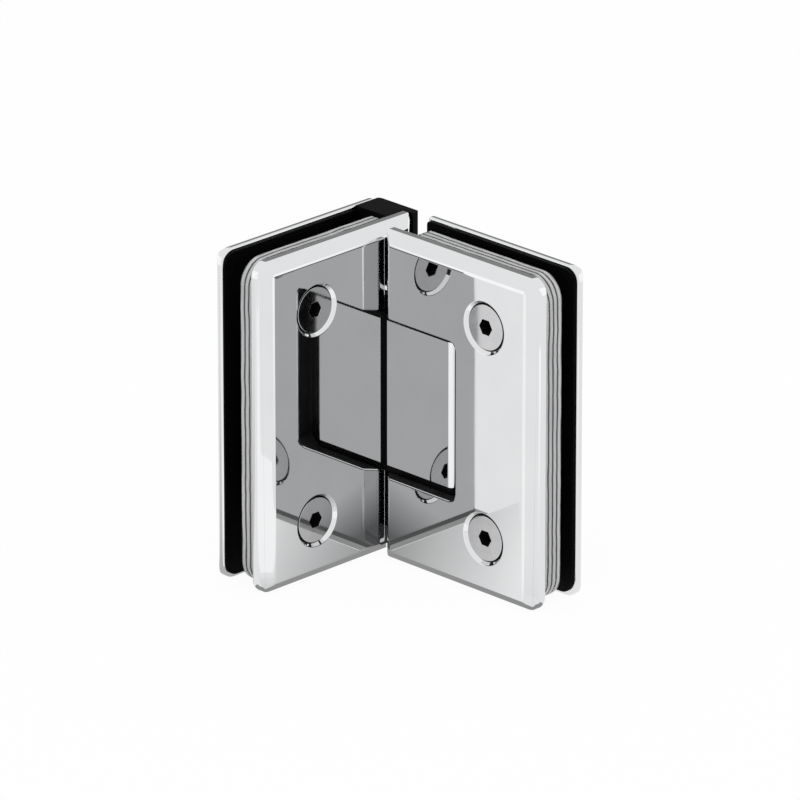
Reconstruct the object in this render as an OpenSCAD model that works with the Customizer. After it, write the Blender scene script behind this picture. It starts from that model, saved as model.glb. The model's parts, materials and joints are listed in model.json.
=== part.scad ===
// Corner door hinge for frameless glass, glass to glass at a right angle.
// Two clamp leaves hold the panels. The fixed leaf carries a pivot block that stands in a notch
// of the door leaf, and the door leaf turns on a pin through that block.
// X runs along the door leaf, Y runs out of the enclosure, and Z is up.

/* [Plates] */
// Height of every plate
plate_h = 90; // [84:1:110]
// Width of every plate
plate_w = 54.5; // [52:0.5:65]
// Thickness of the two plates on the inside of the corner
inner_t = 5.2; // [4.8:0.1:6]
// Thickness of the two plates on the outside of the corner
outer_t = 4.4; // [4:0.1:6]
// Width of the bevelled border, measured across the face
bevel_w = 3.1; // [2:0.1:4]
// Depth of the bevelled border, measured through the plate
bevel_d = 2.6; // [2:0.1:3]
// Radius of a plate's corners at the glass side
corner_r = 4; // [2:0.5:6]
// Length of the fixed inner plate that runs past the inside corner
butt_reach = 15.2; // [14:0.2:17]
// Distance that the fixed outer plate is set past the inner one, towards the corner
outer_lap = 0.7; // [0:0.1:2]

/* [Glass slot] */
// Distance between the inner and the outer plate of a leaf
glass_gap = 11; // [11:0.5:13]
// Thickness of one clear packing sheet
sheet_t = 1.55; // [1.2:0.05:1.55]
// Thickness of the black liner on the outer plate
liner_t = 0.5; // [0.4:0.1:0.8]
// Distance that the sheets stay back from the edges of the plates
sheet_inset = 1; // [0.6:0.1:2]
// Corner radius of a clear sheet at the glass side
sheet_r = 6.5; // [3:0.5:9]
// Corner radius of a sheet or liner at the hinge side
sheet_hinge_r = 1; // [0.5:0.5:4]
// Distance from the end of the fixed inner plate to its clear sheets
sheet_setback = 6.2; // [5:0.2:8]
// Distance that the end spacer stands out past the fixed inner plate
spacer_nose = 2.3; // [1:0.1:4]
// Depth of the end spacer's front below the face of the fixed inner plate
spacer_step = 1.6; // [1:0.1:3]
// Radius of the end spacer's outer edges
spacer_r = 1; // [0.4:0.1:1]

/* [Pivot] */
// Distance from the face of the fixed plate to the pivot axis
pin_x = 17.5; // [17:0.1:19]
// Diameter of the pivot pin
pin_d = 8; // [7:0.1:8.4]
// Depth of a flat that holds the door closed or open, cut into the pin
flat_depth = 0.28; // [0.2:0.02:0.4]
// Height of the pivot block
block_h = 40; // [38:0.5:44]
// Thickness of the pivot block
block_t = 12.2; // [12:0.1:13]
// Depth of the block's front below the face of the door leaf
block_recess = 2.9; // [2:0.1:3]
// Metal left between the pivot axis and the free end of the block
block_nose = 8; // [6.5:0.1:8.5]
// Radius of the block's two upright edges at its free end
block_r = 2.5; // [0.5:0.1:3]
// Radius of the block's two corners at its free end
block_corner_r = 1.5; // [0.5:0.1:2]
// Thickness of the seal between the block and the fixed plate
seal_t = 1.1; // [0.6:0.1:1.5]
// Gap between the free end of the block and the wall of the notch
notch_gap = 2.9; // [2.4:0.1:6]
// Radius of the inner corners of the notch
notch_r = 2.5; // [1:0.5:4]
// Thickness of a bush's flange, which spaces the block from the door leaf
flange_t = 1.5; // [0.8:0.1:2]
// Thickness of a bush's wall
bush_wall = 0.9; // [0.8:0.1:1.2]
// Length of a bush inside the block
bush_l = 8; // [6:0.5:8.5]
// Height of each knuckle that grips an end of the pin
knuckle_h = 10.3; // [9:0.1:12]
// Radius of a knuckle round the pin
knuckle_r = 6.3; // [6:0.1:6.8]
// Depth of the pin's ends inside the knuckles
pin_inset = 1; // [0.5:0.1:2]

/* [Detent] */
// Diameter of a detent plunger
plunger_d = 7; // [6:0.1:7.4]
// Length of a plunger's guided part
plunger_l = 5; // [4:0.1:6]
// Diameter of the spring wire
wire_d = 1.1; // [0.8:0.1:1.3]
// Number of turns in a detent spring
spring_turns = 5; // [4:1:6]
// Length of the spigot that centres a spring on its plunger
spigot_l = 2; // [1:0.5:2.5]

/* [Screws] */
// Distance between the upper and the lower clamp screw of a leaf
clamp_spacing = 57.4; // [54:0.2:62]
// Distance from the notch of the door leaf to its clamp screws
clamp_reach = 10.3; // [9:0.1:12]
// Distance from the free edge of the fixed leaf to its clamp screws
clamp_inset = 18.3; // [17:0.1:20]
// Diameter of a clamp screw
clamp_d = 6; // [5:0.5:6]
// Diameter of a clamp screw's head
head_d = 12.4; // [11.6:0.2:12.6]
// Depth of a clamp screw's head below the face of the plate
head_recess = 0.6; // [0.3:0.1:1.2]
// Width across the flats of a clamp screw's socket
socket_w = 4; // [3:0.5:5]
// Length of a clamp screw
clamp_l = 16; // [14:0.5:17.5]
// Diameter of the threaded bosses that the clamp screws pull on
boss_d = 10; // [9:0.5:12]
// Length of the threaded bosses
boss_l = 6; // [5:0.5:7]
// Metal left behind a boss's threaded hole
boss_floor = 1.2; // [0.8:0.1:1.6]
// Height of the straight rim round a countersunk head
screw_rim = 0.25; // [0.1:0.05:0.4]
// Diameter of a screw that holds the block
block_screw_d = 4.9; // [4:0.1:5]
// Diameter of a block screw's head
block_head_d = 8.8; // [8:0.2:9]
// Width across the flats of a block screw's socket
block_socket_w = 3; // [2:0.5:3]
// Length of a screw that holds the block
block_screw_l = 12; // [10:0.5:13]
// Distance from the ends of the block to its outer screws
block_screw_inset = 5; // [4:0.1:5]
// Diameter of a set screw that locks the pin
set_d = 4; // [3:0.5:4]
// Depth of the flat that a set screw bears on
set_flat = 0.8; // [0.4:0.1:1]

/* [Clearances] */
// Least distance between the turning leaf and the fixed plate
swing_gap = 0.3; // [0.2:0.05:0.6]
// Running clearance on the radius of the pin and the plungers
run_fit = 0.04; // [0.02:0.01:0.08]
// Clearance on the radius of a screw, a bush or a seat
seat_fit = 0.03; // [0.02:0.01:0.08]
// Gap between a bush's flange and the door leaf
side_gap = 0.2; // [0.1:0.05:0.4]
// Gap between a boss and the edge of its hole in the sheets
boss_gap = 0.4; // [0.2:0.1:1]
// Gap between the clear sheets and the knuckles and notch of the door leaf
cut_gap = 1.6; // [1:0.1:3]
// Clearance on the radius round the pin between the bushes
bore_gap = 0.3; // [0.2:0.05:0.6]
// Gap between a plunger and a flat of the pin
plunger_gap = 0.31; // [0.3:0.01:0.35]
// Gap between a spring and its plunger
spring_gap = 0.32; // [0.3:0.01:0.4]
// Clearance on the radius between a spring and its bore
spring_side = 0.2; // [0.1:0.05:0.3]

/* [Hidden] */
$fn = 64;

// Colours
chrome = [0.80, 0.81, 0.83];
steel = [0.62, 0.63, 0.65];
clear_vinyl = [0.82, 0.85, 0.87, 0.6];
black_rubber = [0.07, 0.07, 0.07];
black_acetal = [0.10, 0.10, 0.10];
spring_steel = [0.45, 0.46, 0.48];

// Overlap that lets a cut break cleanly through a face
cut = 1;
// How far a joined shape runs into the one that carries it
weld = 0.5;

// Share of a socket's width that it is deep
socket_share = 0.75;

// Layers of a leaf, measured from its inside face
outer_v = inner_t + glass_gap;
leaf_t = outer_v + outer_t;

// The pin stands in the middle of the block
pin_y = block_recess + block_t / 2;
pin_r = pin_d / 2;
block_end = pin_x + block_nose;

// The edges of the door leaf stay inside a circle round the pin that clears the fixed plate
function swing_edge(v) = pin_x - sqrt(pow(pin_x - swing_gap, 2) - pow(v - pin_y, 2));
door_edge = swing_edge(bevel_d);
door_outer_edge = swing_edge(leaf_t - bevel_d);
door_end = door_edge + plate_w;
fixed_edge = -butt_reach;
fixed_end = plate_w - butt_reach;

// Notch of the door leaf
notch_half = block_h / 2 + flange_t + side_gap;
notch_end = block_end + notch_gap;
knuckle_top = notch_half + knuckle_h;

// Clamp screws, their countersinks and the bosses
clamp_u_door = notch_end + clamp_reach;
clamp_u_fixed = fixed_end - clamp_inset;
clamp_z = clamp_spacing / 2;
clamp_r = clamp_d / 2;
head_r = head_d / 2;
countersink_r = head_r + screw_rim + head_recess + seat_fit;
boss_r = boss_d / 2;
sheet_hole_r = boss_r + boss_gap;

// Block screws
block_screw_z = block_h / 2 - block_screw_inset;
block_screw_r = block_screw_d / 2;
block_head_r = block_head_d / 2;
block_sink_r = block_head_r + screw_rim + 2 * seat_fit;
block_screw_heights = [block_screw_z, 0, -block_screw_z];

// Bush, and the places of the set screws
bush_r = pin_r + bush_wall;
set_z = notch_half + knuckle_h / 2;

// Detent, between the block screws
plunger_z = block_screw_z / 2;
plunger_r = plunger_d / 2;
plunger_tip = pin_x - (pin_r - flat_depth) - plunger_gap;
plunger_back = plunger_tip - plunger_l;
spring_r = plunger_r - wire_d / 2 - spring_side;
spigot_r = spring_r - wire_d / 2 - 1.5 * spring_side;

// Sheets
sheet_half = plate_h / 2 - sheet_inset;
fixed_sheet_edge = fixed_edge + sheet_setback;
door_sheet_edge = door_edge + sheet_setback;

// Middle of the whole object, seen from above
mid_x = (door_end - leaf_t) / 2;
mid_y = (leaf_t - fixed_end) / 2;

// Moves the inside corner to its place over the middle of the footprint
module place() {
    translate([-mid_x, -mid_y, plate_h / 2]) children();
}

// Lays a leaf along -Y, with its inside face towards +X
module fixed_leaf() {
    place() mirror([1, 1, 0]) children();
}

// Leaves a leaf along +X, with its inside face towards -Y
module door_leaf() {
    place() children();
}

// Stands an outline in a leaf's plane, from depth v for a thickness t
module through_leaf(v, t) {
    translate([0, v + t, 0]) rotate([90, 0, 0]) linear_extrude(t) children();
}

// Points a shape that is drawn along +Z through a leaf, away from its inside face
module into_leaf(u, v, z) {
    translate([u, v, z]) rotate([-90, 0, 0]) children();
}

// Rectangle from u0 to u1 and -half to half, with its own radius at each end
module sheet_outline(u0, u1, half, r0, r1) {
    translate([u0, r0 - half]) square([r0 + weld, 2 * (half - r0)]);
    translate([u0 + r0, -half]) square([u1 - u0 - r0 - r1, 2 * half]);
    translate([u1 - weld - r1, r1 - half]) square([r1 + weld, 2 * (half - r1)]);
    for (side = [-1, 1]) {
        translate([u0 + r0, side * (half - r0)]) circle(r0);
        translate([u1 - r1, side * (half - r1)]) circle(r1);
    }
}

// Rectangle from u0 to u1 and -half to half, square at u0 and rounded by r at u1
module plate_outline(u0, u1, half, r) {
    translate([u0, r - half]) square([u1 - u0, 2 * (half - r)]);
    translate([u0, -half]) square([u1 - u0 - r, 2 * half]);
    for (side = [-1, 1]) translate([u1 - r, side * (half - r)]) circle(r);
}

// Plate from u0 to u1 with its bevelled face at depth 0 and its flat back at depth t
module bevelled_plate(u0, u1, t) {
    intersection() {
        translate([0, 0, -plate_h / 2]) linear_extrude(plate_h) polygon([
            [u0, t], [u0, bevel_d], [u0 + bevel_w, 0],
            [u1 - bevel_w, 0], [u1, bevel_d], [u1, t]
        ]);
        translate([u0 - cut, 0, 0]) rotate([90, 0, 90]) linear_extrude(u1 - u0 + 2 * cut) polygon([
            [t, -plate_h / 2], [bevel_d, -plate_h / 2], [0, bevel_w - plate_h / 2],
            [0, plate_h / 2 - bevel_w], [bevel_d, plate_h / 2], [t, plate_h / 2]
        ]);
        through_leaf(0, t) plate_outline(u0, u1, plate_h / 2, corner_r);
    }
}

// Notch for the pivot block, open towards the corner
module notch(v, t, end, half) {
    through_leaf(v - cut, t + 2 * cut) {
        translate([-cut, notch_r - half]) square([end + cut, 2 * (half - notch_r)]);
        translate([-cut, -half]) square([end + cut - notch_r, 2 * half]);
        for (side = [-1, 1]) translate([end - notch_r, side * (half - notch_r)]) circle(notch_r);
    }
}

// Hole of radius r through an inner plate, with a countersink of radius top at its near side
module countersunk_hole(r, top) {
    translate([0, 0, -cut]) cylinder(r = r, h = inner_t + 2 * cut);
    translate([0, 0, -cut]) cylinder(r1 = top + cut, r2 = r, h = top + cut - r);
}

// Hole for each clamp screw, countersunk from the inside face
module clamp_holes(u) {
    for (side = [-1, 1]) into_leaf(u, 0, side * clamp_z)
        countersunk_hole(clamp_r + seat_fit, countersink_r);
}

// Outer plate of a leaf, with a threaded boss for each clamp screw
module clamp_outer_plate(u0, u1, u_screw) {
    thread_depth = boss_l + outer_t - boss_floor;
    difference() {
        union() {
            translate([0, leaf_t, 0]) mirror([0, 1, 0]) bevelled_plate(u0, u1, outer_t);
            for (side = [-1, 1]) into_leaf(u_screw, outer_v - boss_l, side * clamp_z)
                cylinder(r = boss_r, h = boss_l + weld);
        }
        for (side = [-1, 1]) into_leaf(u_screw, outer_v - boss_l - cut, side * clamp_z)
            cylinder(r = clamp_r + seat_fit, h = thread_depth + cut);
    }
}

// Countersunk socket screw, head up at the origin, pointing along +Z
module countersunk_screw(r, top_r, l, across) {
    tip_cut = r / 4;
    difference() {
        rotate_extrude() polygon([
            [0, 0], [top_r - screw_rim, 0], [top_r, screw_rim], [r, top_r - r + screw_rim],
            [r, l - tip_cut], [r - tip_cut, l], [0, l]
        ]);
        translate([0, 0, -cut])
            cylinder(d = across / cos(30), h = across * socket_share + cut, $fn = 6);
    }
}

// Screw from the inside face of a leaf into a boss of its outer plate
module clamp_screw(u, side) {
    color(steel) into_leaf(u, head_recess, side * clamp_z)
        countersunk_screw(clamp_r, head_r, clamp_l, socket_w);
}

// Sheet of the fixed leaf at depth v, with corner radius r at its glass side
module fixed_sheet(v, t, r) {
    difference() {
        through_leaf(v, t)
            sheet_outline(fixed_sheet_edge, fixed_end - sheet_inset, sheet_half, sheet_hinge_r, r);
        for (side = [-1, 1]) into_leaf(clamp_u_fixed, v - cut, side * clamp_z)
            cylinder(r = sheet_hole_r, h = t + 2 * cut);
    }
}

// Sheet of the door leaf at depth v, cut out round the knuckles and the notch
module door_sheet(v, t, edge, r) {
    difference() {
        through_leaf(v, t) sheet_outline(edge, door_end - sheet_inset, sheet_half, sheet_hinge_r, r);
        notch(v, t, notch_end + cut_gap, knuckle_top + cut_gap);
        for (side = [-1, 1]) into_leaf(clamp_u_door, v - cut, side * clamp_z)
            cylinder(r = sheet_hole_r, h = t + 2 * cut);
    }
}

// Plain plate that carries the pivot block, countersunk from behind for the block screws
module fixed_inner_plate() {
    color(chrome) fixed_leaf() difference() {
        bevelled_plate(fixed_edge, fixed_end, inner_t);
        clamp_holes(clamp_u_fixed);
        for (z = block_screw_heights) translate([-pin_y, inner_t, z]) rotate([90, 0, 0])
            countersunk_hole(block_screw_r + seat_fit, block_sink_r);
    }
}

// Plate on the outside of the fixed panel
module fixed_outer_plate() {
    color(chrome) fixed_leaf()
        clamp_outer_plate(fixed_edge - outer_lap, fixed_end - outer_lap, clamp_u_fixed);
}

// Clear packing sheet of the fixed leaf, number n out from the inner plate
module fixed_clear_sheet(n) {
    color(clear_vinyl) fixed_leaf() fixed_sheet(inner_t + (n - 1) * sheet_t, sheet_t, sheet_r);
}

// Black liner that keeps the fixed outer plate off the glass
module fixed_black_liner() {
    color(black_rubber) fixed_leaf() fixed_sheet(outer_v - liner_t, liner_t, corner_r);
}

// Rubber spacer that closes the corner end of the fixed leaf and wraps the end of its inner plate
module fixed_end_spacer() {
    start = -fixed_sheet_edge;
    tip = butt_reach + spacer_nose;
    wrap = inner_t + weld - spacer_step;
    color(black_rubber) place() translate([0, 0, -plate_h / 2]) linear_extrude(plate_h) {
        translate([-outer_v, start]) square([glass_gap, tip - spacer_r - start]);
        translate([-outer_v + spacer_r, start]) square([glass_gap - spacer_r, tip - start]);
        translate([-inner_t - weld, butt_reach]) square([wrap - spacer_r, spacer_nose]);
        translate([-inner_t - weld, butt_reach]) square([wrap, spacer_nose - spacer_r]);
        for (x = [-outer_v + spacer_r, -spacer_step - spacer_r])
            translate([x, tip - spacer_r]) circle(spacer_r);
    }
}

// Plan of the block and of the flanges at its ends, with rounded free edges
module block_plan() {
    translate([seal_t, block_recess]) square([block_end - block_r - seal_t, block_t]);
    translate([block_end - block_r - weld, block_recess + block_r])
        square([block_r + weld, block_t - 2 * block_r]);
    for (y = [block_r, block_t - block_r])
        translate([block_end - block_r, block_recess + y]) circle(block_r);
}

// Bores of the block and its seal for the plungers, their springs and the fixing screws
module block_bores() {
    for (side = [-1, 1]) translate([-cut, pin_y, side * plunger_z]) rotate([0, 90, 0])
        cylinder(r = plunger_r + run_fit, h = pin_x + cut);
    for (z = block_screw_heights) translate([-cut, pin_y, z]) rotate([0, 90, 0])
        cylinder(r = block_screw_r + seat_fit, h = block_screw_l - inner_t + 2 * cut);
}

// Black seal between the block and the fixed plate, as tall as the block with its flanges
module block_seal() {
    half = block_h / 2 + flange_t;
    color(black_rubber) place() difference() {
        translate([0, block_recess, -half]) cube([seal_t, block_t, 2 * half]);
        block_bores();
    }
}

// Block on the fixed leaf, bored through for the pin, with a seat for a bush at each end
module pivot_block() {
    color(chrome) place() difference() {
        intersection() {
            translate([0, 0, -block_h / 2]) linear_extrude(block_h) block_plan();
            through_leaf(block_recess, block_t)
                plate_outline(seal_t, block_end, block_h / 2, block_corner_r);
        }
        translate([pin_x, pin_y, -block_h]) cylinder(r = pin_r + bore_gap, h = 2 * block_h);
        for (side = [-1, 1])
            translate([pin_x, pin_y, side * block_h / 2]) rotate([90 + 90 * side, 0, 0])
                translate([0, 0, -cut]) cylinder(r = bush_r, h = bush_l + cut);
        block_bores();
    }
}

// Screw from behind the fixed inner plate into the block
module block_screw(z) {
    color(steel) place() translate([seat_fit - inner_t, pin_y, z]) rotate([0, 90, 0])
        countersunk_screw(block_screw_r, block_head_r, block_screw_l, block_socket_w);
}

// Bush in the upper end of the block, with a flange that covers the whole end
module upper_bush() {
    color(black_acetal) difference() {
        union() {
            translate([pin_x, pin_y, block_h / 2 - bush_l])
                cylinder(r = bush_r - seat_fit, h = bush_l + weld);
            translate([0, 0, block_h / 2]) linear_extrude(flange_t) block_plan();
        }
        translate([pin_x, pin_y, 0]) cylinder(r = pin_r + run_fit, h = block_h);
    }
}

// Plunger that a spring presses on a flat of the pin
module detent_plunger(side) {
    edge = 0.5;
    color(steel) place() translate([plunger_back, pin_y, side * plunger_z]) rotate([0, 90, 0])
        rotate_extrude() polygon([
            [0, -spigot_l], [spigot_r, -spigot_l], [spigot_r, 0], [plunger_r, 0],
            [plunger_r, plunger_l - edge], [plunger_r - edge, plunger_l], [0, plunger_l]
        ]);
}

// Coil spring between the fixed plate and the plunger, swept round a helix
module detent_spring(side) {
    rings = 20;
    sides = 6;
    wire_r = wire_d / 2;
    start = wire_r + seat_fit;
    rise = plunger_back - spring_gap - wire_r - start;
    steps = rings * spring_turns;
    points = [
        for (i = [0 : steps], k = [0 : sides - 1])
        let (
            turn = i / rings,
            a = turn * 360,
            b = k * 360 / sides,
            r = spring_r + wire_r * cos(b)
        )
        [start + rise * turn / spring_turns + wire_r * sin(b), r * cos(a), r * sin(a)]
    ];
    walls = [
        for (i = [0 : steps - 1], k = [0 : sides - 1])
        let (m = (k + 1) % sides)
        [i * sides + k, i * sides + m, (i + 1) * sides + m, (i + 1) * sides + k]
    ];
    first = [for (k = [sides - 1 : -1 : 0]) k];
    last = [for (k = [0 : sides - 1]) steps * sides + k];
    color(spring_steel) place() translate([0, pin_y, side * plunger_z])
        polyhedron(points = points, faces = concat(walls, [first, last]), convexity = 10);
}

// Notched plate of the door leaf, with the two knuckles that grip the pin behind it
module door_inner_plate() {
    color(chrome) door_leaf() difference() {
        union() {
            difference() {
                bevelled_plate(door_edge, door_end, inner_t);
                notch(0, inner_t, notch_end, notch_half);
            }
            for (side = [-1, 1]) translate([pin_x, pin_y, side * set_z]) {
                cylinder(r = knuckle_r, h = knuckle_h, center = true);
                translate([-knuckle_r, inner_t - weld - pin_y, -knuckle_h / 2])
                    cube([2 * knuckle_r, pin_y - inner_t + weld, knuckle_h]);
            }
        }
        clamp_holes(clamp_u_door);
        translate([pin_x, pin_y, -knuckle_top - cut])
            cylinder(r = pin_r + seat_fit, h = 2 * (knuckle_top + cut));
        for (side = [-1, 1]) into_leaf(pin_x, pin_y, side * set_z)
            cylinder(d = set_d + 2 * seat_fit, h = knuckle_r + cut);
    }
}

// Notched plate on the outside of the door
module door_outer_plate() {
    color(chrome) door_leaf() difference() {
        clamp_outer_plate(door_outer_edge, door_end, clamp_u_door);
        notch(outer_v, outer_t, notch_end, notch_half);
    }
}

// Clear packing sheet of the door leaf, number n out from the inner plate
module door_clear_sheet(n) {
    color(clear_vinyl) door_leaf()
        door_sheet(inner_t + (n - 1) * sheet_t, sheet_t, door_sheet_edge, sheet_r);
}

// Black liner that keeps the door outer plate off the glass
module door_black_liner() {
    color(black_rubber) door_leaf() door_sheet(outer_v - liner_t, liner_t, door_outer_edge, corner_r);
}

// Pin with a flat for each held position of the door and one under each set screw
module pivot_pin() {
    end_cut = 0.6;
    margin = 1;
    half = knuckle_top - pin_inset;
    flat_l = plunger_d + 2 * margin;
    set_l = set_d + margin;
    color(steel) place() translate([pin_x, pin_y, 0]) difference() {
        rotate_extrude() polygon([
            [0, -half], [pin_r - end_cut, -half], [pin_r, end_cut - half],
            [pin_r, half - end_cut], [pin_r - end_cut, half], [0, half]
        ]);
        for (side = [-1, 1]) {
            for (turn = [90, 180, 270]) rotate([0, 0, turn])
                translate([pin_r - flat_depth, -pin_r, side * plunger_z - flat_l / 2])
                    cube([pin_r, pin_d, flat_l]);
            translate([-pin_r, pin_r - set_flat, side * set_z - set_l / 2]) cube([pin_d, pin_r, set_l]);
        }
    }
}

// Set screw in the back of a knuckle, its tip on the pin
module pin_set_screw(side) {
    tip = pin_r - set_flat + seat_fit;
    l = knuckle_r - tip - seat_fit;
    across = set_d / 2;
    color(steel) door_leaf() into_leaf(pin_x, pin_y + tip, side * set_z) difference() {
        cylinder(d = set_d, h = l);
        translate([0, 0, l / 2]) cylinder(d = across / cos(30), h = l, $fn = 6);
    }
}

fixed_inner_plate();
fixed_outer_plate();
fixed_clear_sheet(1);  // fixed_clear_sheet_1
fixed_clear_sheet(2);  // fixed_clear_sheet_2
fixed_clear_sheet(3);  // fixed_clear_sheet_3
fixed_black_liner();
fixed_end_spacer();
fixed_leaf() clamp_screw(clamp_u_fixed, 1);  // fixed_clamp_screw_upper
fixed_leaf() clamp_screw(clamp_u_fixed, -1);  // fixed_clamp_screw_lower
pivot_block();
block_seal();
block_screw(block_screw_z);  // block_screw_upper
block_screw(0);  // block_screw_middle
block_screw(-block_screw_z);  // block_screw_lower
place() upper_bush();  // bush_upper
place() mirror([0, 0, 1]) upper_bush();  // bush_lower
detent_plunger(1);  // detent_plunger_upper
detent_plunger(-1);  // detent_plunger_lower
detent_spring(1);  // detent_spring_upper
detent_spring(-1);  // detent_spring_lower
door_inner_plate();
door_outer_plate();
door_clear_sheet(1);  // door_clear_sheet_1
door_clear_sheet(2);  // door_clear_sheet_2
door_clear_sheet(3);  // door_clear_sheet_3
door_clear_sheet(4);  // door_clear_sheet_4
door_black_liner();
door_leaf() clamp_screw(clamp_u_door, 1);  // door_clamp_screw_upper
door_leaf() clamp_screw(clamp_u_door, -1);  // door_clamp_screw_lower
pivot_pin();
pin_set_screw(1);  // pin_set_screw_upper
pin_set_screw(-1);  // pin_set_screw_lower
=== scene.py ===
import json
import math

import bmesh
import bpy
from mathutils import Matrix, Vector

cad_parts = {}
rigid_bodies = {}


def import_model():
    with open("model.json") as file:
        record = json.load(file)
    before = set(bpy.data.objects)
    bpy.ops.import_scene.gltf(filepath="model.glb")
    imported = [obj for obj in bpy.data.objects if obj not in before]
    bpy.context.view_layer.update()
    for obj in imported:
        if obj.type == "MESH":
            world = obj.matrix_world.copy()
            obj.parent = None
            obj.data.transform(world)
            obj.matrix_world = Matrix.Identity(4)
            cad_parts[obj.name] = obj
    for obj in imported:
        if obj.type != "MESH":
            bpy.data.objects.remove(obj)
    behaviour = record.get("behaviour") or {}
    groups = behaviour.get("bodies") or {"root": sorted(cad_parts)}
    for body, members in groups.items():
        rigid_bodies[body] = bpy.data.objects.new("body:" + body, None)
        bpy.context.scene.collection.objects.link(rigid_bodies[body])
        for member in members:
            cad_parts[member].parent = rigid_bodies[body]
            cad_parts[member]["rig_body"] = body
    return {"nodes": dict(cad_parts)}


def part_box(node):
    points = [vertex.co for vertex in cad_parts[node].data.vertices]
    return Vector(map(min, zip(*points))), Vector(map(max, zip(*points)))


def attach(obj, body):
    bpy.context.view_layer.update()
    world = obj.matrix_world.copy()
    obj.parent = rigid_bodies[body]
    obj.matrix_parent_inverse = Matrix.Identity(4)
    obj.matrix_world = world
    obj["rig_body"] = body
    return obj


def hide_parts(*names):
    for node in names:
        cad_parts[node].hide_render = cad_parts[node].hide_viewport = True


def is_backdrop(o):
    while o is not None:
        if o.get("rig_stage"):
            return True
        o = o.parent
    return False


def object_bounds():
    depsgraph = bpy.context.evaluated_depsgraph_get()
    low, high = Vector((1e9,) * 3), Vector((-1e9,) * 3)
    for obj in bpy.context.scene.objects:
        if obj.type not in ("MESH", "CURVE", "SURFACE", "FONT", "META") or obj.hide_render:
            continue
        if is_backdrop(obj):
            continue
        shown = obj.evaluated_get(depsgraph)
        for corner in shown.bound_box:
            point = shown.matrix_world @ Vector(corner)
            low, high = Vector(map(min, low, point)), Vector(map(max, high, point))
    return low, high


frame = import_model()
cad_low, cad_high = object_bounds()
MM = 0.001

# The viewpoint
# The hinge is seen from inside its corner, level with both leaves and a little from above,
# through a long lens. Angles and aim fit an 800 x 800 picture.
azimuth = math.radians(45.0)
elevation = math.radians(21.47)
distance = 2.5155
aim = Vector((-12.94, 13.41, 43.71)) * MM
focal_pixels = 9846
picture_pixels = 800

camera = bpy.data.objects.new("camera", bpy.data.cameras.new("camera"))
bpy.context.scene.collection.objects.link(camera)
bpy.context.scene.camera = camera
back = Vector((
    math.sin(azimuth) * math.cos(elevation),
    -math.cos(azimuth) * math.cos(elevation),
    math.sin(elevation),
))
camera.location = aim + back * distance
camera.rotation_euler = (-back).to_track_quat("-Z", "Y").to_euler()
camera.data.sensor_width = 36
camera.data.lens = focal_pixels / picture_pixels * 36
camera.data.clip_start = 0.1
camera.data.clip_end = 50
bpy.context.scene.view_settings.view_transform = "Standard"


# Floor and room
# A white sweep under and round the hinge, lit from overhead. Camera, mirror and see-through
# rays find it white, and it keeps a faint shadow of the hinge.
def node_material(name):
    """A new material with its node tree emptied down to the output."""
    material = bpy.data.materials.new(name)
    material.use_nodes = True
    tree = material.node_tree
    for node in list(tree.nodes):
        if node.type != "OUTPUT_MATERIAL":
            tree.nodes.remove(node)
    return material, tree, tree.nodes["Material Output"]


def maths(tree, operation, *given):
    """The output of a maths node that is fed with sockets or plain numbers."""
    node = tree.nodes.new("ShaderNodeMath")
    node.operation = operation
    for value, socket in zip(given, node.inputs):
        if isinstance(value, (int, float)):
            socket.default_value = value
        else:
            tree.links.new(value, socket)
    return node.outputs[0]


def seen_directly(tree):
    """1 for camera, mirror and see-through rays, 0 for the rest."""
    path = tree.nodes.new("ShaderNodeLightPath")
    in_view = maths(tree, "MAXIMUM", path.outputs["Is Camera Ray"], path.outputs["Is Glossy Ray"])
    return maths(tree, "MAXIMUM", in_view, path.outputs["Is Transmission Ray"])


floor_mesh = bmesh.new()
bmesh.ops.create_circle(floor_mesh, cap_ends=True, segments=96, radius=6)
floor_data = bpy.data.meshes.new("studio_floor")
floor_mesh.to_mesh(floor_data)
floor_mesh.free()
studio_floor = bpy.data.objects.new("studio_floor", floor_data)
bpy.context.scene.collection.objects.link(studio_floor)
studio_floor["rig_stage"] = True

floor_paper, tree, output = node_material("floor_paper")
paper = tree.nodes.new("ShaderNodeBsdfDiffuse")
paper.inputs["Color"].default_value = (0.9, 0.9, 0.9, 1)
glow = tree.nodes.new("ShaderNodeEmission")
glow_share = 0.95
share = maths(tree, "MULTIPLY", seen_directly(tree), glow_share)
blend = tree.nodes.new("ShaderNodeMixShader")
tree.links.new(share, blend.inputs[0])
tree.links.new(paper.outputs[0], blend.inputs[1])
tree.links.new(glow.outputs[0], blend.inputs[2])
tree.links.new(blend.outputs[0], output.inputs["Surface"])
floor_data.materials.append(floor_paper)

world = bpy.data.worlds.new("studio")
world.use_nodes = True
bpy.context.scene.world = world
tree = world.node_tree
ambient = tree.nodes["Background"]
ambient.inputs["Color"].default_value = (1, 1, 1, 1)
ambient.inputs["Strength"].default_value = 0.75
white = tree.nodes.new("ShaderNodeBackground")
white.inputs["Color"].default_value = (1, 1, 1, 1)
white.inputs["Strength"].default_value = 1
blend = tree.nodes.new("ShaderNodeMixShader")
tree.links.new(seen_directly(tree), blend.inputs[0])
tree.links.new(ambient.outputs[0], blend.inputs[1])
tree.links.new(white.outputs[0], blend.inputs[2])
tree.links.new(blend.outputs[0], tree.nodes["World Output"].inputs["Surface"])

key = bpy.data.objects.new("overhead_light", bpy.data.lights.new("overhead_light", "AREA"))
bpy.context.scene.collection.objects.link(key)
key.data.shape = "DISK"
key.data.size = 0.8
key.data.energy = 3.5
key.location = (0.25, -0.3, 1.1)
key.rotation_euler = (-key.location).to_track_quat("-Z", "Y").to_euler()
key.visible_glossy = False


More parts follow.
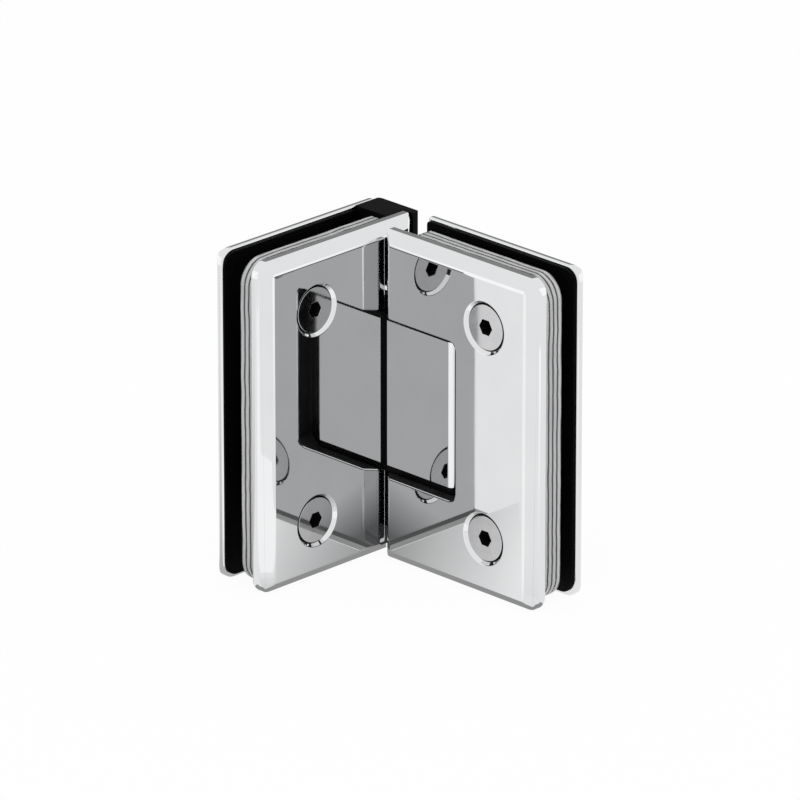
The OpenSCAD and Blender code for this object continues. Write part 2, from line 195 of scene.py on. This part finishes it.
# Studio cards
# Glowing cards that only the mirror surfaces find: painted reflections, which light nothing and
# cast no shadow. Some lie on the floor before and under the hinge and paint shade there, walls
# stand at both sides, one hangs high behind for its top faces, and dark ones paint the reflection
# of an unlit room behind the camera. Places are counted from where the inner faces of the plates
# meet.
corner_inset = 20.6 * MM
corner = Vector((cad_low.x + corner_inset, cad_high.y - corner_inset, 0))
forward = Vector((math.sin(azimuth), -math.cos(azimuth), 0))
sideways = Vector((math.cos(azimuth), math.sin(azimuth), 0))


def ramp_along(tree, directions, start, length, low, high):
    """A value that grows from low to high with the greatest distance along the directions."""
    place = tree.nodes.new("ShaderNodeTexCoord")
    greatest = None
    for direction in directions:
        along = tree.nodes.new("ShaderNodeVectorMath")
        along.operation = "DOT_PRODUCT"
        along.inputs[1].default_value = direction
        tree.links.new(place.outputs["Object"], along.inputs[0])
        offset = corner.dot(Vector(direction)) + start
        distance_along = maths(tree, "SUBTRACT", along.outputs["Value"], offset)
        if greatest is None:
            greatest = distance_along
        else:
            greatest = maths(tree, "MAXIMUM", greatest, distance_along)
    ramp = tree.nodes.new("ShaderNodeMapRange")
    ramp.inputs["From Max"].default_value = length
    ramp.inputs["To Min"].default_value = low
    ramp.inputs["To Max"].default_value = high
    tree.links.new(greatest, ramp.inputs["Value"])
    return ramp.outputs["Result"]


def studio_card(name, corners, strength, after_two=False):
    """A glowing card without a shadow, a painted reflection that shows only in mirrors, or only in
    mirrors of mirrors.
    """
    data = bpy.data.meshes.new(name)
    data.from_pydata([tuple(point) for point in corners], [], [tuple(range(len(corners)))])
    material, tree, output = node_material(name)
    glow = tree.nodes.new("ShaderNodeEmission")
    if callable(strength):
        tree.links.new(strength(tree), glow.inputs["Strength"])
    else:
        glow.inputs["Strength"].default_value = strength
    shown = glow.outputs[0]
    if after_two:
        path = tree.nodes.new("ShaderNodeLightPath")
        twice = maths(tree, "GREATER_THAN", path.outputs["Glossy Depth"], 1.5)
        unseen = tree.nodes.new("ShaderNodeBsdfTransparent")
        blend = tree.nodes.new("ShaderNodeMixShader")
        tree.links.new(twice, blend.inputs[0])
        tree.links.new(unseen.outputs[0], blend.inputs[1])
        tree.links.new(shown, blend.inputs[2])
        shown = blend.outputs[0]
    tree.links.new(shown, output.inputs["Surface"])
    data.materials.append(material)
    card = bpy.data.objects.new(name, data)
    bpy.context.scene.collection.objects.link(card)
    card.visible_camera = False
    card.visible_diffuse = False
    card.visible_transmission = False
    card.visible_shadow = False
    card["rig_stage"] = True
    return card


def flat_card(height, points):
    """Corners of a level card, from distances along the door leaf and along the fixed leaf."""
    return [corner + Vector((x, -y, height)) for x, y in points]


# painted shade: mirrors find the floor darker near the corner, where the leaves shade it, and
# lighter further out
near_reach, near_start, near_length = 53 * MM, 5 * MM, 50 * MM
near_way = (1.12, -0.88, 0)
studio_card(
    "near_card", flat_card(0.2 * MM, ((0, 0), (0, near_reach), (near_reach, 0))),
    lambda tree: ramp_along(tree, (near_way,), near_start, near_length, 0.42, 1.01),
)

# painted shade seen only in mirrors of mirrors: a grey floor before the hinge, darker towards its
# foot
front_start, front_wide, front_far = -4 * MM, 0.15, 0.4
fade_start, fade_length = 30 * MM, 54 * MM
fade_ways = ((3, 1, 0), (-1, -3, 0))
studio_card(
    "front_card", flat_card(0.4 * MM, (
        (front_start, front_start), (front_start, front_wide),
        (front_far, front_far + front_wide), (front_far + front_wide, front_far),
        (front_wide, front_start),
    )),
    lambda tree: ramp_along(tree, fade_ways, fade_start, fade_length, 0.18, 0.61),
    after_two=True,
)

# painted contact shadow under the plates for mirrors, darker still for mirrors of mirrors
under_depth, under_edge = 6 * MM, 0.3 * MM
under_fixed_leaf, under_door_leaf = 41 * MM, 58 * MM
for name, height, strength, after_two in (
    ("under_card", 0.5 * MM, 0.33, False), ("under_card_twice", 0.6 * MM, 0.12, True),
):
    studio_card(name, flat_card(height, (
        (-under_depth, -under_depth), (-under_depth, under_fixed_leaf),
        (under_edge, under_fixed_leaf), (under_edge, under_edge),
        (under_door_leaf, under_edge), (under_door_leaf, -under_depth),
    )), strength, after_two)

# the shade below the open corner between the plates
studio_card("gap_card", flat_card(0.7 * MM, (
    (-1 * MM, -4 * MM), (-1 * MM, -10 * MM), (15 * MM, -26 * MM),
    (22 * MM, -26 * MM), (22 * MM, -20 * MM), (6 * MM, -4 * MM),
)), 0.04)

# painted shade: mirrors find the floor off the fixed leaf's end darker near the hinge and lighter
# further away
left_start, left_length = 60 * MM, 230 * MM
studio_card(
    "left_card", flat_card(0.3 * MM, (
        (-3 * MM, 13 * MM), (-3 * MM, 35.5 * MM), (-0.21, 0.2425), (-0.21, 0.2),
    )),
    lambda tree: ramp_along(tree, ((-1, -1, 0),), left_start, left_length, 0.55, 0.95),
)

# painted pools of light on the floor, seen only in mirrors, for the highlights along the rounded
# edges
studio_card("front_pool", flat_card(0.2 * MM, (
    (0.05, 0.005), (-0.03, 0.09), (-0.096, 0.24), (0.118, 0.24),
)), 1.14)
side_start, side_length = 0.06, 0.17
studio_card(
    "side_pool", flat_card(0.3 * MM, (
        (0.062, 0.0), (0.058, 0.028), (0.24, 0.06), (0.24, -0.04),
    )),
    lambda tree: ramp_along(tree, ((1, 0, 0),), side_start, side_length, 0.95, 1.25),
)

# glowing walls and floor strips at both sides, seen only in mirrors: painted reflections of side
# light
wall_distance, wall_height, wall_glow = 3.5, 1.6, 1.22
strip_distance, strip_half, strip_glow = 1.9, 1.6, 1.2
for name, way in (("left_wall", -1), ("right_wall", 1)):
    middle = corner + sideways * way * wall_distance
    top = Vector((0, 0, wall_height))
    studio_card(name, (
        middle - forward * 4, middle + forward * 1.5,
        middle + forward * 1.5 + top, middle - forward * 4 + top,
    ), wall_glow)
    middle = corner + sideways * way * strip_distance + Vector((0, 0, 0.5 * MM))
    studio_card(name + "_floor", [
        middle + sideways * across * strip_half + forward * reach
        for across, reach in ((-1, -1.5), (1, -1.5), (1, 0.9), (-1, 0.05))
    ], strip_glow)

# a grey glowing card, seen only in mirrors: the painted reflection above the top faces
rear_distance, rear_half = 1.5, 0.4
rear_way = Vector((0, 0, math.sin(elevation))) - forward * math.cos(elevation)
rear_up = sideways.cross(rear_way)
rear_middle = corner + rear_way * rear_distance
studio_card("rear_card", [
    rear_middle + sideways * across * rear_half + rear_up * up * rear_half
    for across, up in ((-1, -1), (1, -1), (1, 1), (-1, 1))
], 0.27)

# painted dark reflection of an unlit room behind the camera, seen only in mirrors of mirrors
room_glow, room_height, room_half = 0.03, 2.2, 4
room_near, room_far = corner + forward * 0.62, corner + forward * 4
room_left, room_right = room_far - sideways * room_half, room_far + sideways * room_half
studio_card("dark_floor", [
    point + Vector((0, 0, 0.6 * MM)) for point in (
        room_near - sideways * 0.25, room_near + sideways * 0.25, room_right, room_left,
    )
], room_glow, after_two=True)
room_top = Vector((0, 0, room_height))
studio_card("dark_room", (
    room_left, room_right, room_right + room_top, room_left + room_top,
), room_glow, after_two=True)


# Plates
# Cast brass plates, machined, polished to a mirror and chrome plated. Polishing has rounded every
# edge. The faces of the door's inner plate at the knuckles and the walls of the notch are painted
# near
# black: painted shade for the gaps there.
def finish_group():
    """Node group for a finish that changes over the surface: colour, roughness and height."""
    group = bpy.data.node_groups.new("finish_variation", "ShaderNodeTree")
    for name, kind, value in (
        ("Size", "NodeSocketFloat", 100),
        ("Stretch", "NodeSocketVector", (1, 1, 1)),
        ("Dark", "NodeSocketColor", (0.4, 0.4, 0.4, 1)),
        ("Light", "NodeSocketColor", (0.6, 0.6, 0.6, 1)),
        ("Smooth", "NodeSocketFloat", 0.2),
        ("Rough", "NodeSocketFloat", 0.4),
    ):
        socket = group.interface.new_socket(name, in_out="INPUT", socket_type=kind)
        socket.default_value = value
    for name, kind in (
        ("Colour", "NodeSocketColor"), ("Roughness", "NodeSocketFloat"),
        ("Height", "NodeSocketFloat"),
    ):
        group.interface.new_socket(name, in_out="OUTPUT", socket_type=kind)
    given = group.nodes.new("NodeGroupInput")
    result = group.nodes.new("NodeGroupOutput")
    place = group.nodes.new("ShaderNodeTexCoord")
    stretch = group.nodes.new("ShaderNodeMapping")
    noise = group.nodes.new("ShaderNodeTexNoise")
    noise.inputs["Detail"].default_value = 5
    noise.inputs["Roughness"].default_value = 0.6
    group.links.new(place.outputs["Object"], stretch.inputs["Vector"])
    group.links.new(given.outputs["Stretch"], stretch.inputs["Scale"])
    group.links.new(stretch.outputs["Vector"], noise.inputs["Vector"])
    group.links.new(given.outputs["Size"], noise.inputs["Scale"])
    spread = group.nodes.new("ShaderNodeMapRange")
    spread.inputs["From Min"].default_value = 0.3
    spread.inputs["From Max"].default_value = 0.7
    group.links.new(noise.outputs["Fac"], spread.inputs["Value"])
    tint = group.nodes.new("ShaderNodeMix")
    tint.data_type = "RGBA"
    group.links.new(spread.outputs["Result"], tint.inputs["Factor"])
    group.links.new(given.outputs["Dark"], tint.inputs["A"])
    group.links.new(given.outputs["Light"], tint.inputs["B"])
    sheen = group.nodes.new("ShaderNodeMix")
    sheen.data_type = "FLOAT"
    group.links.new(spread.outputs["Result"], sheen.inputs["Factor"])
    group.links.new(given.outputs["Smooth"], sheen.inputs["A"])
    group.links.new(given.outputs["Rough"], sheen.inputs["B"])
    group.links.new(tint.outputs["Result"], result.inputs["Colour"])
    group.links.new(sheen.outputs["Result"], result.inputs["Roughness"])
    group.links.new(noise.outputs["Fac"], result.inputs["Height"])
    return group


finish_variation = finish_group()


def finished_material(name, size, dark, light, smooth, rough, stretch=(1, 1, 1), relief=0.0):
    """A Principled material fed by the finish group. Relief is the height of its unevenness."""
    material, tree, output = node_material(name)
    finish = tree.nodes.new("ShaderNodeGroup")
    finish.node_tree = finish_variation
    finish.inputs["Size"].default_value = size
    finish.inputs["Stretch"].default_value = stretch
    finish.inputs["Dark"].default_value = (*dark, 1)
    finish.inputs["Light"].default_value = (*light, 1)
    finish.inputs["Smooth"].default_value = smooth
    finish.inputs["Rough"].default_value = rough
    shader = tree.nodes.new("ShaderNodeBsdfPrincipled")
    tree.links.new(finish.outputs["Colour"], shader.inputs["Base Color"])
    tree.links.new(finish.outputs["Roughness"], shader.inputs["Roughness"])
    if relief:
        bump = tree.nodes.new("ShaderNodeBump")
        bump.inputs["Strength"].default_value = 1
        bump.inputs["Distance"].default_value = relief
        tree.links.new(finish.outputs["Height"], bump.inputs["Height"])
        tree.links.new(bump.outputs["Normal"], shader.inputs["Normal"])
    tree.links.new(shader.outputs[0], output.inputs["Surface"])
    return material, shader


def polished_copy(node, name, width):
    """A merged copy of a CAD node with its sharp edges rounded, which stands for the node.

    Edges at 45 degrees, such as those of screw heads and their holes, stay crisper."""
    least_turn, crisp_turns, crisp_width = 25, (43, 47), 0.12 * MM
    mesh = bmesh.new()
    mesh.from_mesh(frame["nodes"][node].data)
    bmesh.ops.remove_doubles(mesh, verts=mesh.verts, dist=0.002 * MM)
    bmesh.ops.dissolve_limit(
        mesh, angle_limit=math.radians(0.5), verts=mesh.verts, edges=mesh.edges
    )
    for crisp, offset in ((False, width), (True, min(width, crisp_width))):
        sharp = []
        for edge in mesh.edges:
            if len(edge.link_faces) == 2:
                turn = math.degrees(edge.calc_face_angle())
                if turn > least_turn and crisp == (crisp_turns[0] < turn < crisp_turns[1]):
                    sharp.append(edge)
        if sharp:
            bmesh.ops.bevel(
                mesh, geom=sharp, affect="EDGES", offset=offset, offset_type="OFFSET",
                segments=5, profile=0.5, material=-1, clamp_overlap=False,
            )
    for face in mesh.faces:
        face.smooth = True
    data = bpy.data.meshes.new(name)
    mesh.to_mesh(data)
    mesh.free()
    piece = bpy.data.objects.new(name, data)
    bpy.context.scene.collection.objects.link(piece)
    normals = piece.modifiers.new("flat faces stay flat", "WEIGHTED_NORMAL")
    normals.mode = "FACE_AREA"
    normals.weight = 100
    normals.keep_sharp = False
    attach(piece, frame["nodes"][node]["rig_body"])
    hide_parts(node)
    return piece


chrome, shader = finished_material(
    "polished_chrome", size=60, dark=(0.735, 0.74, 0.75), light=(0.765, 0.77, 0.775),
    smooth=0.015, rough=0.05, relief=0.002 * MM,
)
shader.inputs["Metallic"].default_value = 1
# near black, a painted shade for the gaps at the knuckles and round the notch
gap_shade_black, shader = finished_material(
    "painted_gap_shade", size=300, dark=(0.008, 0.008, 0.008), light=(0.02, 0.02, 0.02),
    smooth=0.5, rough=0.7, relief=0.02 * MM,
)
shader.inputs["Specular IOR Level"].default_value = 0.1
middle_height = (cad_low.z + cad_high.z) / 2
inner_plate_back, notch_end, notch_half = 5.3 * MM, 28.5 * MM, 21.8 * MM
for node in ("fixed_inner_plate", "fixed_outer_plate", "door_inner_plate", "door_outer_plate"):
    plate = polished_copy(node, "polished_" + node, 0.6 * MM)
    plate.data.materials.append(chrome)
    if node == "door_inner_plate":
        plate.data.materials.append(gap_shade_black)
        for face in plate.data.polygons:
            depth = face.center.y - corner.y
            in_notch = (
                depth > 0 and face.center.x - corner.x < notch_end
                and abs(face.center.z - middle_height) < notch_half
            )
            if depth > inner_plate_back or in_notch:
                face.material_index = 1


# Pivot block
# A brass block, milled, polished and chrome plated like the plates. Three screws from behind hold
# it to the fixed inner plate.
block = polished_copy("pivot_block", "polished_pivot_block", 0.25 * MM)
block.data.materials.append(chrome)


# Clear sheets
# Flexible vinyl sheets, die cut and slightly cloudy, with soft cut edges, clamped between the
# plates. The door leaf's sheets have their cut edges at the pivot and round the notch painted near
# black: painted shade for the gaps there.
def sheet_material(name, way):
    """Vinyl whose cut edges darken where one sheet lies on the next, counted along way."""
    stack_start, sheet_thickness = 5.2 * MM, 1.55 * MM
    waviness, mean_noise = 0.66, 0.5
    material, shader = finished_material(
        name, size=260, dark=(0.72, 0.73, 0.74), light=(0.98, 0.98, 0.99),
        smooth=0.1, rough=0.3, stretch=(1, 1, 0.12), relief=0.02 * MM,
    )
    tree = material.node_tree
    colour = shader.inputs["Base Color"].links[0].from_socket
    place = tree.nodes.new("ShaderNodeTexCoord")
    along = tree.nodes.new("ShaderNodeVectorMath")
    along.operation = "DOT_PRODUCT"
    along.inputs[1].default_value = way
    tree.links.new(place.outputs["Object"], along.inputs[0])
    layer = tree.nodes.new("ShaderNodeMapRange")
    layer.clamp = False
    first = corner.dot(Vector(way)) + stack_start
    layer.inputs["From Min"].default_value = first
    layer.inputs["From Max"].default_value = first + sheet_thickness
    tree.links.new(along.outputs["Value"], layer.inputs["Value"])
    wave = tree.nodes.new("ShaderNodeTexNoise")
    wave.inputs["Scale"].default_value = 110
    tree.links.new(place.outputs["Object"], wave.inputs["Vector"])
    bent = maths(tree, "MULTIPLY_ADD", wave.outputs["Fac"], waviness, layer.outputs["Result"])
    fold = maths(tree, "PINGPONG", maths(tree, "SUBTRACT", bent, waviness * mean_noise), 0.5)
    seam = tree.nodes.new("ShaderNodeMapRange")
    seam.interpolation_type = "SMOOTHSTEP"
    seam.inputs["From Min"].default_value = 0.06
    seam.inputs["From Max"].default_value = 0.3
    tree.links.new(fold, seam.inputs["Value"])
    shade = tree.nodes.new("ShaderNodeMix")
    shade.data_type = "RGBA"
    shade.inputs["A"].default_value = (0.06, 0.06, 0.065, 1)
    tree.links.new(seam.outputs["Result"], shade.inputs["Factor"])
    tree.links.new(colour, shade.inputs["B"])
    tree.links.new(shade.outputs["Result"], shader.inputs["Base Color"])
    shader.inputs["Transmission Weight"].default_value = 0.4
    shader.inputs["IOR"].default_value = 1.5
    return material


sheet_end, dark_reach, dark_half = 9 * MM, 32 * MM, 36 * MM
for leaf, way in (("fixed", (-1, 0, 0)), ("door", (0, 1, 0))):
    vinyl = sheet_material(leaf + "_sheets_vinyl", way)
    for node in frame["nodes"]:
        if node.startswith(leaf + "_clear_sheet"):
            sheet = polished_copy(node, "soft_" + node, 0.15 * MM)
            sheet.data.materials.append(vinyl)
            if leaf == "door":
                # painted shade on the cut edges at the pivot and round the notch
                sheet.data.materials.append(gap_shade_black)
                for face in sheet.data.polygons:
                    along_leaf = face.center.x - corner.x
                    near_middle = abs(face.center.z - middle_height) < dark_half
                    at_hinge = along_leaf < sheet_end or along_leaf < dark_reach and near_middle
                    if abs(face.normal.y) < 0.5 and at_hinge:
                        face.material_index = 1


# Liners, spacer and seal
# Smooth black rubber with a fine grain. Liners and seal are cut from sheet and lie between the
# metal parts, and the moulded spacer closes the end of the fixed leaf.
rubber, shader = finished_material(
    "black_rubber", size=900, dark=(0.0006, 0.0006, 0.0006), light=(0.002, 0.002, 0.002),
    smooth=0.5, rough=0.7, relief=0.004 * MM,
)
shader.inputs["Specular IOR Level"].default_value = 0.06
for node in ("fixed_black_liner", "door_black_liner", "fixed_end_spacer", "block_seal"):
    frame["nodes"][node].data.materials[0] = rubber


# Clamp screws
# Countersunk socket screws, turned and plated. The sockets and the chamfered rims are painted near
# black: painted shade in the sockets and in the gap round each head, which draws a dark line round
# it.
plated, shader = finished_material(
    "plated_screw", size=300, dark=(0.56, 0.56, 0.57), light=(0.64, 0.64, 0.65),
    smooth=0.03, rough=0.1, relief=0.002 * MM,
)
shader.inputs["Metallic"].default_value = 1
# painted shade for the sockets and the rims round the heads
socket_shade_black, shader = finished_material(
    "painted_socket_shade", size=1500, dark=(0.002, 0.002, 0.002), light=(0.008, 0.008, 0.008),
    smooth=0.6, rough=0.8,
)
shader.inputs["Specular IOR Level"].default_value = 0.1
socket_reach, rim_start, least_depth = 2.5 * MM, 5.97 * MM, 0.05 * MM
for leaf, axis in (("fixed", 0), ("door", 1)):
    for side in ("upper", "lower"):
        node = leaf + "_clamp_screw_" + side
        screw = polished_copy(node, "polished_" + node, 0.06 * MM)
        screw.data.materials.append(plated)
        screw.data.materials.append(socket_shade_black)
        low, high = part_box(node)
        middle = (Vector(low) + Vector(high)) / 2
        head = high[0] if axis == 0 else low[1]
        for face in screw.data.polygons:
            away = Vector(face.center) - middle
            away[axis] = 0
            deep = abs(face.center[axis] - head) > least_depth
            if deep and (away.length < socket_reach or away.length > rim_start):
                face.material_index = 1


# Block screws and set screws
# Machined steel, left with a fine turned finish. The block screws hold the block from behind, and
# the set screws lock the pin in its knuckles.
steel, shader = finished_material(
    "turned_steel", size=700, dark=(0.4, 0.4, 0.41), light=(0.56, 0.56, 0.57),
    smooth=0.25, rough=0.4, relief=0.001 * MM,
)
shader.inputs["Metallic"].default_value = 1
for node in frame["nodes"]:
    if "block_screw" in node or "set_screw" in node:
        frame["nodes"][node].data.materials[0] = steel


# Bushes
# Black acetal, turned and milled. They sit in the ends of the block, round the pin, and their
# flanges cover the block's ends.
acetal, shader = finished_material(
    "black_acetal", size=800, dark=(0.001, 0.001, 0.001), light=(0.003, 0.003, 0.003),
    smooth=0.4, rough=0.55, relief=0.002 * MM,
)
shader.inputs["Specular IOR Level"].default_value = 0.08
for node in ("bush_upper", "bush_lower"):
    frame["nodes"][node].data.materials[0] = acetal


# Pin and plungers
# Hardened steel, ground round, with marks that run round the pin. The plungers slide in the block
# and press on the flats of the pin.
ground, shader = finished_material(
    "ground_steel", size=400, dark=(0.5, 0.5, 0.51), light=(0.64, 0.64, 0.65),
    smooth=0.12, rough=0.25, stretch=(0.3, 0.3, 4), relief=0.0005 * MM,
)
shader.inputs["Metallic"].default_value = 1
for node in ("pivot_pin", "detent_plunger_upper", "detent_plunger_lower"):
    frame["nodes"][node].data.materials[0] = ground


# Detent springs
# Drawn spring wire, coiled, oiled and a little darker than the rest. They sit in the block behind
# the plungers.
wire, shader = finished_material(
    "spring_wire", size=900, dark=(0.2, 0.2, 0.21), light=(0.32, 0.32, 0.33),
    smooth=0.25, rough=0.4,
)
shader.inputs["Metallic"].default_value = 1
for node in ("detent_spring_upper", "detent_spring_lower"):
    frame["nodes"][node].data.materials[0] = wire


low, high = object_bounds()
